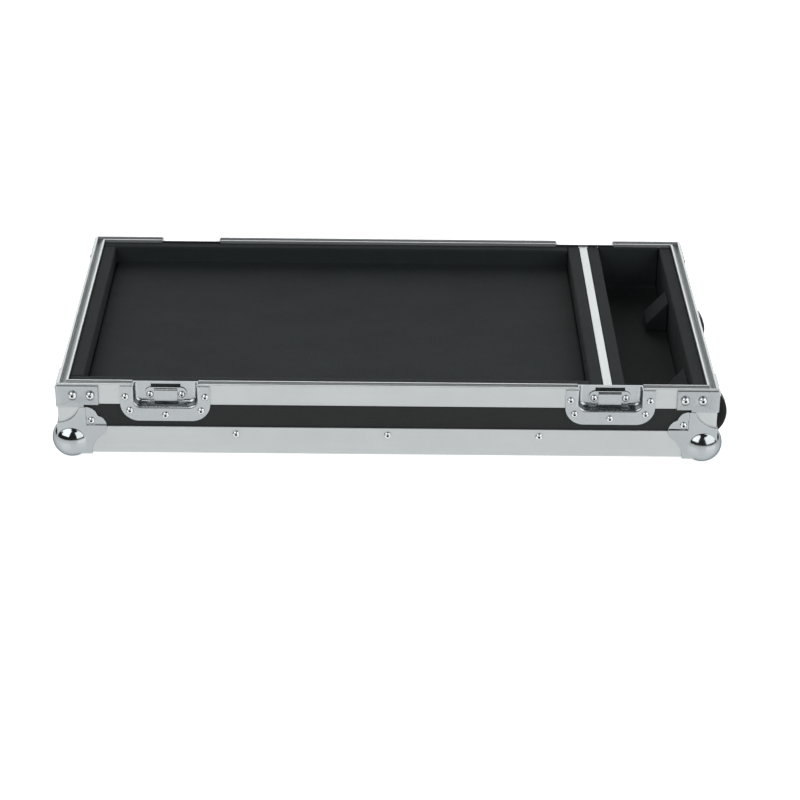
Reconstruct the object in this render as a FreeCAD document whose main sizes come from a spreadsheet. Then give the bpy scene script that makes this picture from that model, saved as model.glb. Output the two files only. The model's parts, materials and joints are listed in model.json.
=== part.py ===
# Base tray of a wheeled road case, with a lift-off lid that is not part of it.
# Millimetres. X runs to the wheeled end, Y away from the front wall, Z up.
# The origin is on the ground, under the middle of the tray.
import FreeCAD, Part
import math
import os
import re
import Sketcher

SIZES = {
    # the tray over its aluminium edges, and its height from bottom edge to rim top
    "case_width": 754, "case_depth": 436, "tray_height": 87,
    "skin": 1.5, "ply": 9, "fit": 0.3, "overrun": 5,
    # rim extrusion
    "rim_band": 25, "rim_inner_leg": 14, "outer_lip": 2.6, "inner_lip": 2.3,
    "groove_deep": 6.5, "groove_shallow": 2, "rim_web": 1.6,
    # aluminium angles
    "angle_leg": 33.5, "corner_leg": 30,
    # rim corner plates
    "plate_thick": 2, "plate_reach": 47, "plate_tall": 26.4, "plate_step": 30,
    "plate_low": 23.6, "plate_drop": 2.2, "plate_rivet_first": 17.7, "plate_rivet_second": 37.7,
    "plate_rivet_drop": 13.6,
    # ball corners: a ball let into the corner, and legs along the three faces
    "ball_radius": 23, "ball_inset": 13.5, "ball_pocket": 16, "ball_wall": 5, "leg_thick": 1.5,
    "leg_foot": 38, "leg_waist": 41, "leg_waist_rise": 14, "leg_hip": 48.6, "leg_hip_rise": 22,
    "leg_flank": 53.3, "leg_flank_rise": 27, "leg_reach": 55.3, "leg_shoulder": 32.5,
    "leg_lobe": 51.8, "leg_lobe_rise": 42.6, "leg_notch": 45, "leg_notch_rise": 47,
    "leg_crown": 39.8, "leg_crown_rise": 55, "leg_crest": 58, "leg_crest_far": 32.3, "leg_crest_near": 24.5,
    "leg_inside": 14.5, "leg_inside_rise": 43.7, "leg_gap": 0.4,
    "leg_rivet_side": 7.8, "leg_rivet_rise": 7.4,
    # recessed latch dishes and their keepers
    "latch_inset": 123, "dish_sheet": 1.2, "dish_width": 102.5, "dish_tall": 45.5, "dish_corner": 21.5,
    "dish_gap": 8, "pan_drop": 1.2,
    "recess_width": 72, "recess_tall": 26.5, "recess_corner": 9,
    "dish_rivet_side": 45.5, "dish_rivet_high": 15.2, "dish_rivet_wide": 40.6, "dish_rivet_low": 32.3,
    "dish_rivet_foot": 37.9,
    "keeper_width": 48, "keeper_tall": 16, "keeper_sheet": 1.5, "keeper_corner": 7.5, "keeper_drop": 8.8,
    "keeper_rivet": 18.2, "bridge_width": 26.5, "bridge_tall": 10.8, "bridge_rise": 0.3,
    "bridge_proud": 3.4, "hook_lip": 2, "slot_width": 34, "slot_tall": 3.9, "slot_drop": 3.9,
    # rivet heads
    "large_head": 5, "small_head": 4.3, "large_dome": 2.2, "small_dome": 2,
    "edge_rivet_inset": 80, "edge_rivet_drop": 8.6,
    # foam lining and the divider
    "wall_foam": 15.5, "foam_drop": 3, "main_deep": 20, "side_wide": 78, "side_floor": 18,
    "end_foam": 4, "divider_ply": 10, "divider_foam": 15, "cap_thick": 1.5,
    # wheels, their housings and foam covers
    "tyre_radius": 33, "tyre_width": 24, "tyre_edge": 4, "wheel_proud": 21.2, "housing_drop": 0.5,
    "leg_clear": 5.7, "back_wheel_inset": 134, "wheel_gap": 2, "housing_sheet": 1.5,
    "cheek_gap": 3, "housing_flange": 10, "hub_radius": 18, "bearing_radius": 11, "bearing_width": 7,
    "bearing_shoulder": 9, "axle_radius": 4, "running_gap": 0.05, "side_play": 0.2, "spacer_wall": 1.5,
    "cover_thick": 27, "cover_wall": 3.2, "cover_rise": 3.5,
    "front_cover_far": 25, "back_cover_near": 19, "back_cover_far": 19.5,
}

HALF_X = "case_width / 2"
HALF_Y = "case_depth / 2"
EDGE_Z = "(ball_radius - ball_inset)"
RIM_Z = f"({EDGE_Z} + tray_height)"
PANEL_Z = f"({EDGE_Z} + skin)"
FLOOR_Z = f"({EDGE_Z} + skin + ply)"
FOAM_Z = f"({RIM_Z} - foam_drop)"
SIDE_FLOOR_Z = f"({FLOOR_Z} + side_floor)"
WALL_TOP = f"({RIM_Z} - groove_deep - rim_web)"
UPRIGHT = "(tray_height - dish_tall - dish_gap)"
LATCH_X = f"({HALF_X} - latch_inset)"
LATCHES = (("left", f"-{LATCH_X}"), ("right", LATCH_X))
RIM_WIDE = "(2 * skin + ply)"
INNER_X = f"({HALF_X} - skin - ply)"
INNER_Y = f"({HALF_Y} - skin - ply)"
OUTER_X = f"({HALF_X} - {RIM_WIDE})"
OUTER_Y = f"({HALF_Y} - {RIM_WIDE})"
LINING_X = f"({HALF_X} - {RIM_WIDE} - wall_foam)"
LINING_Y = f"({HALF_Y} - {RIM_WIDE} - wall_foam)"
PAN_HALF = "(recess_width / 2 + dish_sheet)"
PAN_TALL = "(recess_tall + dish_sheet)"
WHEEL_X = f"({HALF_X} + wheel_proud - tyre_radius)"
WHEEL_Y = {"front": f"(leg_reach + leg_clear + tyre_width / 2 - {HALF_Y})",
           "back": f"({HALF_Y} - back_wheel_inset)"}
CHEEK = "(tyre_width / 2 + cheek_gap)"
HOUSING_HALF = f"({CHEEK} + housing_sheet)"
WELL = "(tyre_radius + wheel_gap)"
SHELL = f"({WELL} + housing_sheet)"
WHEEL_Z = f"({RIM_Z} - rim_band - housing_drop - {SHELL})"
OCTAGON_SHARE = math.sqrt(2) - 1
ALIGNED_SHARE = 0.999
# half of a rivet head: shares of its radius and of its height, round to the broken stem in its middle
HEAD_SHARES = ((0, 0), (1, 0), (0.95, 0.42), (0.76, 0.82), (0.5, 1), (0.34, 1), (0.28, 0.5), (0, 0.5))

doc = FreeCAD.newDocument("RoadCaseTray")
sheet = doc.addObject("Spreadsheet::Sheet", "Sheet")
for row, (alias, number) in enumerate(SIZES.items(), start=1):
    sheet.set(f"A{row}", alias)
    sheet.set(f"B{row}", str(number))
    sheet.setAlias(f"B{row}", alias)
doc.recompute()
size = {alias: float(sheet.get(alias)) for alias in SIZES}
nodes = []


def bound(text):
    """Put the sheet's name before each of its aliases in an expression."""
    return re.sub(r"[a-z_]+", lambda m: f"Sheet.{m[0]}" if m[0] in SIZES else m[0], text)


def bind(obj, **expressions):
    for name, text in expressions.items():
        obj.setExpression(name, bound(text))
    return obj


def place(obj, x="0", y="0", z="0"):
    for axis, text in zip("xyz", (x, y, z)):
        obj.setExpression(f"Placement.Base.{axis}", bound(text))
    return obj


def node(obj, label):
    obj.Label = label
    nodes.append(obj)
    return obj


def span(name, x, y, z):
    """A box from its low to its high corner along each axis."""
    box = doc.addObject("Part::Box", name)
    for side, (low, high) in zip(("Length", "Width", "Height"), (x, y, z)):
        box.setExpression(side, bound(f"({high}) - ({low})"))
    return place(box, x[0], y[0], z[0])


def fuse(name, shapes):
    joined = doc.addObject("Part::MultiFuse", name)
    joined.Shapes = shapes
    joined.Refine = True
    return joined


def cut(name, base, tools):
    left = doc.addObject("Part::Cut", name)
    left.Base = base
    left.Tool = tools[0] if len(tools) == 1 else fuse(f"{name}_tools", tools)
    left.Refine = True
    return left


def mirrored(source, label, normal):
    copy = doc.addObject("Part::Mirroring", label)
    copy.Source = source
    copy.Normal = normal
    return node(copy, label)


ACROSS_X = FreeCAD.Vector(1, 0, 0)
ACROSS_Y = FreeCAD.Vector(0, 1, 0)
TURNS = {
    "XY": FreeCAD.Rotation(),
    "XZ": FreeCAD.Rotation(FreeCAD.Vector(1, 0, 0), 90),
    "YZ": FreeCAD.Rotation(FreeCAD.Vector(1, 1, 1), 120),
}


def outline(name, plane, points, origin):
    """A closed sketch of straight sides, each corner held by two dimensions from the origin."""
    sketch = doc.addObject("Sketcher::SketchObject", name)
    sketch.Placement = FreeCAD.Placement(FreeCAD.Vector(), TURNS[plane])
    count = len(points)
    turn = 2 * math.pi / count
    ring = [FreeCAD.Vector(math.cos(i * turn), math.sin(i * turn), 0) for i in range(count)]
    for i in range(count):
        sketch.addGeometry(Part.LineSegment(ring[i], ring[(i + 1) % count]), False)
    for i in range(count):
        sketch.addConstraint(Sketcher.Constraint("Coincident", i, 2, (i + 1) % count, 1))
    for i, corner in enumerate(points):
        for kind, text in zip(("DistanceX", "DistanceY"), corner):
            now = getattr(ring[i], kind[-1].lower())
            held = sketch.addConstraint(Sketcher.Constraint(kind, -1, 1, i, 1, now))
            sketch.setExpression(f"Constraints[{held}]", bound(text))
    return place(sketch, *origin)


def prism(name, plane, points, origin, ahead, behind="0"):
    """An outline drawn out along its plane's normal, and back the other way."""
    bar = doc.addObject("Part::Extrusion", name)
    bar.Base = outline(f"{name}_outline", plane, points, origin)
    bar.DirMode = "Normal"
    bar.Solid = True
    return bind(bar, LengthFwd=ahead, LengthRev=behind)


def turned(name, points, origin):
    """A ring turned about a line along Y through origin; points are radius and place along Y."""
    ring = doc.addObject("Part::Revolution", name)
    ring.Source = outline(f"{name}_outline", "XY", points, origin)
    ring.Axis = FreeCAD.Vector(0, 1, 0)
    ring.Angle = 360
    ring.Solid = True
    for axis, text in zip("xyz", origin):
        ring.setExpression(f"Base.{axis}", bound(text))
    return ring


def rounded(name, base, radius, chosen):
    """Round the edges that chosen picks out, by one size of the sheet."""
    doc.recompute()
    soft = doc.addObject("Part::Fillet", name)
    soft.Base = base
    edges = enumerate(base.Shape.Edges, start=1)
    soft.Edges = [(i, size[radius], size[radius]) for i, edge in edges if chosen(edge)]
    return soft


def runs_along(edge, axis):
    ends = edge.Vertexes
    if len(ends) != 2 or edge.Curve.TypeId != "Part::GeomLine":
        return False
    way = ends[1].Point - ends[0].Point
    return abs(way.normalize().dot(axis)) > ALIGNED_SHARE


def panels():
    notch = f"{HALF_X} - ball_pocket"
    notch_y = f"{HALF_Y} - ball_pocket"
    low = (EDGE_Z, f"{EDGE_Z} + ball_pocket")
    bottom = span("bottom_board", (f"-{INNER_X}", INNER_X), (f"-{INNER_Y}", INNER_Y), (PANEL_Z, FLOOR_Z))
    corners = []
    for i, (x, y) in enumerate(((-1, -1), (1, -1), (-1, 1), (1, 1))):
        across = (f"-{HALF_X}", f"-({notch})") if x < 0 else (notch, HALF_X)
        along = (f"-{HALF_Y}", f"-({notch_y})") if y < 0 else (notch_y, HALF_Y)
        corners.append(span(f"corner_pocket_{i}", across, along, low))
    slot_z = (f"{EDGE_Z} - overrun", f"{FLOOR_Z} + overrun")
    wells = [wheel_slot("floor", end, slot_z) for end in WHEEL_Y]
    node(cut("bottom_panel", bottom, corners + wells), "bottom_panel")

    wall_y = (f"-{HALF_Y} + skin", f"-{INNER_Y}")
    board = span("front_board", (f"-{HALF_X} + skin", f"{HALF_X} - skin"), wall_y, (PANEL_Z, WALL_TOP))
    pans = [span(f"pan_hole_{side}", (f"{x} - {PAN_HALF} - fit", f"{x} + {PAN_HALF} + fit"),
                 (f"-{HALF_Y}", f"-{INNER_Y} + overrun"), (f"{RIM_Z} - {PAN_TALL} - fit", RIM_Z))
            for side, x in LATCHES]
    front = node(cut("front_panel", board, pans + corners[:2]), "front_panel")
    mirrored(front, "back_panel", ACROSS_Y)

    wall_x = (f"-{HALF_X} + skin", f"-{INNER_X}")
    board = span("left_board", wall_x, (f"-{INNER_Y}", INNER_Y), (PANEL_Z, WALL_TOP))
    node(cut("left_panel", board, [corners[0], corners[2]]), "left_panel")
    wall_x = (INNER_X, f"{HALF_X} - skin")
    board = span("right_board", wall_x, (f"-{INNER_Y}", INNER_Y), (PANEL_Z, WALL_TOP))
    slot_z = (f"{EDGE_Z} - overrun", f"{WHEEL_Z} + {SHELL} + fit")
    wells = [wheel_slot("wall", end, slot_z) for end in WHEEL_Y]
    node(cut("right_panel", board, [corners[1], corners[3]] + wells), "right_panel")


def wheel_slot(name, end, z):
    """The room that a wheel housing needs in a board, an angle or a foam."""
    y = WHEEL_Y[end]
    across = (f"{WHEEL_X} - {SHELL} - fit", f"{HALF_X} + overrun")
    along = (f"{y} - {HOUSING_HALF} - fit", f"{y} + {HOUSING_HALF} + fit")
    return span(f"{name}_slot_{end}", across, along, z)


def rim_section(name, plane, origin, length):
    """Channel over the board's edge, with a groove on top that is deepest beside its outer lip."""
    inner = f"{RIM_WIDE} - inner_lip"
    under = "-groove_deep - rim_web"
    points = [("0", "0"), ("outer_lip", "0"), ("outer_lip", "-groove_deep"), (inner, "-groove_shallow"),
              (inner, "0"), (RIM_WIDE, "0"), (RIM_WIDE, "-rim_inner_leg"),
              (f"{RIM_WIDE} - skin", "-rim_inner_leg"), (f"{RIM_WIDE} - skin", under),
              ("skin", under), ("skin", "-rim_band"), ("0", "-rim_band")]
    return prism(name, plane, points, origin, f"{length} / 2", f"{length} / 2")


def rims():
    bar = rim_section("front_bar", "YZ", ("0", f"-{HALF_Y}", RIM_Z), "case_width")
    room = "rim_band + overrun"
    low = f"{RIM_Z} - ({room})"
    tall = f"{room} + overrun"
    ends = []
    for side, sign in (("left", ""), ("right", "-")):
        corner = f"-{HALF_X}" if side == "left" else HALF_X
        away = [("0", "0"), ("0", RIM_WIDE), (f"{sign}{RIM_WIDE}", RIM_WIDE)]
        ends.append(prism(f"front_mitre_{side}", "XY", away, (corner, f"-{HALF_Y}", low), tall))
    gaps = [span(f"rim_gap_{side}", (f"{x} - {PAN_HALF} - fit", f"{x} + {PAN_HALF} + fit"),
                 (f"-{HALF_Y} - overrun", f"-{HALF_Y} + {RIM_WIDE} + overrun"), (low, f"{RIM_Z} + overrun"))
            for side, x in LATCHES]
    front = node(cut("front_rim", bar, ends + gaps), "front_rim")
    mirrored(front, "back_rim", ACROSS_Y)

    bar = rim_section("left_bar", "XZ", (f"-{HALF_X}", "0", RIM_Z), "case_depth")
    ends = []
    for side, sign in (("front", ""), ("back", "-")):
        corner = f"-{HALF_Y}" if side == "front" else HALF_Y
        away = [("0", "0"), (RIM_WIDE, "0"), (RIM_WIDE, f"{sign}{RIM_WIDE}")]
        ends.append(prism(f"side_mitre_{side}", "XY", away, (f"-{HALF_X}", corner, low), tall))
    left = node(cut("left_rim", bar, ends), "left_rim")
    mirrored(left, "right_rim", ACROSS_X)


def bottom_angles():
    reach_x = f"({HALF_X} - ball_pocket)"
    reach_y = f"({HALF_Y} - ball_pocket)"
    leg_z = (EDGE_Z, f"{EDGE_Z} + {UPRIGHT}")
    foot_z = (EDGE_Z, PANEL_Z)
    upright = span("front_upright", (f"-{reach_x}", reach_x), (f"-{HALF_Y}", f"-{HALF_Y} + skin"), leg_z)
    foot = span("front_foot", (f"-{reach_x}", reach_x), (f"-{HALF_Y}", f"-{HALF_Y} + angle_leg"), foot_z)
    front = node(fuse("front_bottom_angle", [upright, foot]), "front_bottom_angle")
    mirrored(front, "back_bottom_angle", ACROSS_Y)

    inside = f"({HALF_Y} - angle_leg - fit)"
    upright = span("left_upright", (f"-{HALF_X}", f"-{HALF_X} + skin"), (f"-{reach_y}", reach_y), leg_z)
    foot = span("left_foot", (f"-{HALF_X}", f"-{HALF_X} + angle_leg"), (f"-{inside}", inside), foot_z)
    left = node(fuse("left_bottom_angle", [upright, foot]), "left_bottom_angle")
    right = doc.addObject("Part::Mirroring", "right_angle_blank")
    right.Source = left
    right.Normal = ACROSS_X
    low = (f"{EDGE_Z} - overrun", f"{EDGE_Z} + {UPRIGHT} + overrun")
    wells = [wheel_slot("angle", end, low) for end in WHEEL_Y]
    node(cut("right_bottom_angle", right, wells), "right_bottom_angle")


def corner_angles():
    high = (f"{EDGE_Z} + {UPRIGHT}", f"{RIM_Z} - rim_band")
    front = span("corner_front", (f"-{HALF_X}", f"-{HALF_X} + corner_leg"),
                 (f"-{HALF_Y}", f"-{HALF_Y} + skin"), high)
    side = span("corner_side", (f"-{HALF_X}", f"-{HALF_X} + skin"),
                (f"-{HALF_Y}", f"-{HALF_Y} + corner_leg"), high)
    four_corners(fuse("corner_angle", [front, side]), "corner_angle")


def four_corners(source, name):
    """The piece at the front left corner, and its copies at the other three."""
    first = node(source, f"front_left_{name}")
    mirrored(first, f"front_right_{name}", ACROSS_X)
    back = mirrored(first, f"back_left_{name}", ACROSS_Y)
    mirrored(back, f"back_right_{name}", ACROSS_X)


def corner_plates():
    top = f"{RIM_Z} - plate_drop"
    outside_x = f"-{HALF_X} - plate_thick"
    outside_y = f"-{HALF_Y} - plate_thick"
    legs = []
    for part, reach, tall in (("tall", "plate_step", "plate_tall"), ("low", "plate_reach", "plate_low")):
        z = (f"{top} - {tall}", top)
        legs.append(span(f"plate_front_{part}", (outside_x, f"-{HALF_X} + {reach}"),
                         (outside_y, f"-{HALF_Y}"), z))
        legs.append(span(f"plate_side_{part}", (outside_x, f"-{HALF_X}"),
                         (outside_y, f"-{HALF_Y} + {reach}"), z))
    four_corners(fuse("corner_plate", legs), "corner_plate")


def ball_leg(deep):
    """One leg of a ball corner, in the corner's own X and Z, drawn out along Y.

    Its rise is drawn so that its crest ends just below the corner plate."""
    s = size
    low = -s["leg_thick"]
    tall_share = (s["tray_height"] - s["plate_drop"] - s["plate_tall"] - s["leg_gap"]) / s["leg_crest"]

    def at(x, z):
        return FreeCAD.Vector(x, 0, z if z < 0 else z * tall_share)

    def named(out, up):
        return at(s[out], s[up])

    corner, foot, top = at(low, low), at(s["leg_foot"], low), at(low, s["leg_foot"])
    shoulder, notch = named("leg_reach", "leg_shoulder"), named("leg_notch", "leg_notch_rise")
    crest, near_crest = named("leg_crest_far", "leg_crest"), named("leg_crest_near", "leg_crest")
    hip = named("leg_hip", "leg_hip_rise")
    edges = [Part.LineSegment(corner, foot), Part.Arc(foot, named("leg_waist", "leg_waist_rise"), hip),
             Part.Arc(hip, named("leg_flank", "leg_flank_rise"), shoulder),
             Part.Arc(shoulder, named("leg_lobe", "leg_lobe_rise"), notch),
             Part.Arc(notch, named("leg_crown", "leg_crown_rise"), crest),
             Part.LineSegment(crest, near_crest),
             Part.Arc(near_crest, named("leg_inside", "leg_inside_rise"), top),
             Part.LineSegment(top, corner)]
    face = Part.Face(Part.Wire([edge.toShape() for edge in edges]))
    return face.extrude(FreeCAD.Vector(0, deep, 0))


def ball_corners():
    """A ball set into the corner, with a leg on each upright face and one under the floor.

    The legs lie on the angles, and step down to the board between them."""
    s = size
    thick, room = s["leg_thick"], s["tray_height"]
    upright = s["tray_height"] - s["dish_tall"] - s["dish_gap"]
    leg = ball_leg(-thick)
    pad = ball_leg(s["skin"])
    seat = Part.makeBox(room, room, room, FreeCAD.Vector(s["corner_leg"] + s["fit"], -room / 2,
                                                         upright + s["fit"]))
    raised = seat.copy()
    raised.translate(FreeCAD.Vector(thick, 0, thick))
    front = leg.cut(raised).fuse(pad.common(seat))
    side = front.mirror(FreeCAD.Vector(), FreeCAD.Vector(1, -1, 0))
    under = Part.makeCylinder(s["leg_foot"], thick, FreeCAD.Vector(-thick, -thick, -thick),
                              FreeCAD.Vector(0, 0, 1), 90)
    centre = FreeCAD.Vector(s["ball_inset"], s["ball_inset"], s["ball_inset"])
    ball = Part.makeSphere(s["ball_radius"], centre)
    pocket, wall = s["ball_pocket"], s["ball_wall"]
    inside = Part.makeBox(room, room, room, FreeCAD.Vector(wall, wall, wall))
    for x, y, z in ((pocket, 0, 0), (0, pocket, 0), (0, 0, pocket)):
        inside = inside.fuse(Part.makeBox(room, room, room, FreeCAD.Vector(x, y, z)))
    ball = ball.cut(inside)
    # the legs stop where the ball turns the corner
    tip = Part.makeBox(room, room, room, centre - FreeCAD.Vector(room, room, room))
    legs = [piece.cut(tip) for piece in (front, side, under)]
    solid = ball.fuse(legs).removeSplitter()
    corner = doc.addObject("Part::Feature", "ball_corner")
    corner.Shape = solid
    place(corner, f"-{HALF_X}", f"-{HALF_Y}", EDGE_Z)
    four_corners(corner, "ball_corner")


def latch_dishes():
    """A pressed dish: a flange on the wall, and an open-topped recess set through it."""
    x, top = f"-{LATCH_X}", f"{RIM_Z} - plate_drop"
    wide = (f"{x} - dish_width / 2", f"{x} + dish_width / 2")
    low = f"{RIM_Z} - dish_tall"
    flange = span("dish_flange", wide, (f"-{HALF_Y} - dish_sheet", f"-{HALF_Y}"), (low, top))
    back = span("dish_seat", wide, (f"-{HALF_Y}", f"-{HALF_Y} + skin"), (low, f"{RIM_Z} - rim_band - fit"))
    plate = fuse("dish_plate", [flange, back])

    def at_low_corner(edge):
        return runs_along(edge, ACROSS_Y) and edge.BoundBox.ZMax < plate.Shape.BoundBox.ZMin + size["fit"]

    plate = rounded("dish_plate_round", plate, "dish_corner", at_low_corner)
    pan = span("dish_pan", (f"{x} - {PAN_HALF}", f"{x} + {PAN_HALF}"),
               (f"-{HALF_Y} - dish_sheet", f"-{HALF_Y} + {RIM_WIDE}"),
               (f"{RIM_Z} - {PAN_TALL}", f"{RIM_Z} - pan_drop"))
    hollow = span("dish_hollow", (f"{x} - recess_width / 2", f"{x} + recess_width / 2"),
                  (f"-{HALF_Y} - overrun", f"-{HALF_Y} + {RIM_WIDE} - dish_sheet"),
                  (f"{RIM_Z} - recess_tall", f"{RIM_Z} + overrun"))
    doc.recompute()
    floor = size["ball_radius"] - size["ball_inset"] + size["tray_height"] - size["recess_tall"]

    def at_recess_corner(edge):
        return runs_along(edge, ACROSS_Y) and abs(edge.BoundBox.ZMax - floor) < size["fit"]

    hollow = rounded("dish_hollow_round", hollow, "recess_corner", at_recess_corner)
    slot_top = f"{RIM_Z} - slot_drop"
    slot = span("dish_slot", (f"{x} - slot_width / 2", f"{x} + slot_width / 2"),
                (f"-{HALF_Y}", f"-{HALF_Y} + {RIM_WIDE} + overrun"), (f"{slot_top} - slot_tall", slot_top))
    dish = cut("latch_dish", fuse("dish_blank", [plate, pan]), [hollow, slot])
    four_corners(dish, "latch_dish")


def keepers():
    """A plate on the dish's back wall, below its slot, with a bridge that carries the hook lip."""
    x, face = f"-{LATCH_X}", f"(-{HALF_Y} + {RIM_WIDE} - dish_sheet)"
    top = f"{RIM_Z} - keeper_drop"
    plate = span("keeper_plate", (f"{x} - keeper_width / 2", f"{x} + keeper_width / 2"),
                 (f"{face} - keeper_sheet", face), (f"{top} - keeper_tall", top))
    plate = rounded("keeper_plate_round", plate, "keeper_corner", lambda edge: runs_along(edge, ACROSS_Y))
    wide = (f"{x} - bridge_width / 2", f"{x} + bridge_width / 2")
    low = f"({top} - keeper_tall + bridge_rise)"
    high = f"({low} + bridge_tall)"
    bridge = span("keeper_bridge", wide, (f"{face} - bridge_proud", face), (low, high))
    lip = span("keeper_lip", wide, (f"{face} - bridge_proud", f"{face} - bridge_proud + keeper_sheet"),
               (high, f"{high} + hook_lip"))
    four_corners(fuse("latch_keeper", [plate, bridge, lip]), "latch_keeper")


def dome(head, tall, place_at, out):
    """A blind rivet's head, turned, flat side on the face that out points away from."""
    points = [FreeCAD.Vector(r * head, 0, z * tall) for r, z in HEAD_SHARES]
    half = Part.Face(Part.makePolygon(points + points[:1]))
    turned_head = half.revolve(FreeCAD.Vector(), FreeCAD.Vector(0, 0, 1), 360)
    turned_head.Placement = FreeCAD.Placement(place_at, FreeCAD.Rotation(FreeCAD.Vector(0, 0, 1), out))
    return turned_head


def rivets(label, head, tall, places):
    """A group of equal heads; places are points with the way each faces."""
    group = doc.addObject("Part::Feature", label)
    heads = [dome(size[head], size[tall], FreeCAD.Vector(*point), FreeCAD.Vector(*out))
             for point, out in places]
    group.Shape = Part.makeCompound(heads)
    node(group, label)


def all_rivets():
    s = size
    half_x, half_y = s["case_width"] / 2, s["case_depth"] / 2
    edge_z = s["ball_radius"] - s["ball_inset"]
    rim_z = edge_z + s["tray_height"]
    upright = s["tray_height"] - s["dish_tall"] - s["dish_gap"]
    latch_x = half_x - s["latch_inset"]
    corners = [(x, y) for x in (-1, 1) for y in (-1, 1)]

    def both_faces(x, y, along, z, proud):
        """The same place on the front or back face, and on the end face, beside one corner."""
        on_front = ((x * (half_x - along), y * (half_y + proud), z), (0, y, 0))
        on_end = ((x * (half_x + proud), y * (half_y - along), z), (x, 0, 0))
        return [on_front, on_end]

    found = []
    for x, y in corners:
        for along in (s["plate_rivet_first"], s["plate_rivet_second"]):
            found += both_faces(x, y, along, rim_z - s["plate_rivet_drop"], s["plate_thick"])
    rivets("corner_plate_rivets", "large_head", "large_dome", found)

    found = []
    for x, y in corners:
        along = s["corner_leg"] + s["leg_rivet_side"]
        found += both_faces(x, y, along, edge_z + upright + s["leg_rivet_rise"], 0)
    rivets("ball_corner_rivets", "small_head", "small_dome", found)

    found = []
    face = half_y + s["dish_sheet"]
    keeper_face = half_y - (2 * s["skin"] + s["ply"]) + s["dish_sheet"] + s["keeper_sheet"]
    keeper_z = rim_z - s["keeper_drop"] - s["keeper_tall"] / 2
    high_z, low_z = rim_z - s["dish_rivet_high"], rim_z - s["dish_rivet_low"]
    for x, y in corners:
        middle = x * latch_x
        for side in (-1, 1):
            found.append(((middle + side * s["dish_rivet_side"], y * face, high_z), (0, y, 0)))
            found.append(((middle + side * s["dish_rivet_wide"], y * face, low_z), (0, y, 0)))
            found.append(((middle + side * s["keeper_rivet"], y * keeper_face, keeper_z), (0, y, 0)))
        found.append(((middle, y * face, rim_z - s["dish_rivet_foot"]), (0, y, 0)))
    rivets("latch_rivets", "small_head", "small_dome", found)

    edge = edge_z + upright - s["edge_rivet_drop"]
    edge_x = latch_x - s["edge_rivet_inset"]
    found = [((x * edge_x, y * half_y, edge), (0, y, 0)) for x in (-1, 0, 1) for y in (-1, 1)]
    rivets("edge_rivets", "small_head", "small_dome", found)


def lining():
    """Foam on the walls and floors, and a divider that runs from front to back.

    Thin sheets cover the front and back walls of the side compartment."""
    tall = (FLOOR_Z, FOAM_Z)
    right_face = f"({LINING_X} - side_wide - divider_foam)"
    left_face = f"({right_face} - divider_ply)"
    beside, past = f"({left_face} - divider_foam)", f"({right_face} + divider_foam)"
    front = span("front_foam", (f"-{OUTER_X}", beside), (f"-{OUTER_Y}", f"-{LINING_Y}"), tall)
    mirrored(node(front, "front_foam"), "back_foam", ACROSS_Y)
    node(span("left_foam", (f"-{OUTER_X}", f"-{LINING_X}"), (f"-{LINING_Y}", LINING_Y), tall), "left_foam")
    full = (f"-{OUTER_Y}", OUTER_Y)
    right = span("right_strip", (LINING_X, OUTER_X), full, tall)
    slot_z = (EDGE_Z, f"{WHEEL_Z} + {SHELL} + fit")
    wells = [wheel_slot("foam", end, slot_z) for end in WHEEL_Y]
    node(cut("right_foam", right, wells), "right_foam")

    cap_z = f"{FOAM_Z} - cap_thick"
    node(span("divider_panel", (left_face, right_face), full, (FLOOR_Z, cap_z)), "divider_panel")
    node(span("divider_cap", (left_face, right_face), full, (cap_z, FOAM_Z)), "divider_cap")
    node(span("divider_left_foam", (beside, left_face), full, tall), "divider_left_foam")
    node(span("divider_right_foam", (right_face, past), full, tall), "divider_right_foam")
    floor = span("main_floor_foam", (f"-{LINING_X} + fit", f"{beside} - fit"),
                 (f"-{LINING_Y} + fit", f"{LINING_Y} - fit"), (FLOOR_Z, f"{FOAM_Z} - main_deep"))
    node(floor, "main_floor_foam")
    room = (f"{past} + fit", f"{LINING_X} - fit")
    pad = span("side_pad", room, full, (FLOOR_Z, SIDE_FLOOR_Z))
    near = span("side_front_sheet", room, (f"-{OUTER_Y}", f"-{OUTER_Y} + end_foam"), tall)
    far = span("side_back_sheet", room, (f"{OUTER_Y} - end_foam", OUTER_Y), tall)
    wells = [wheel_slot("pad", end, slot_z) for end in WHEEL_Y]
    lined = fuse("side_lining", [pad, near, far])
    node(cut("side_floor_foam", lined, wells), "side_floor_foam")


def well_section(reach, right, low):
    """Seen along the axle: upright inside, flat on top, and cut across at 45 degrees between."""
    share = f"{OCTAGON_SHARE:.6f}"
    return [(right, low), (f"-{reach}", low), (f"-{reach}", f"{reach} * {share}"),
            (f"-{reach} * {share}", reach), (right, reach)]


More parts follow.
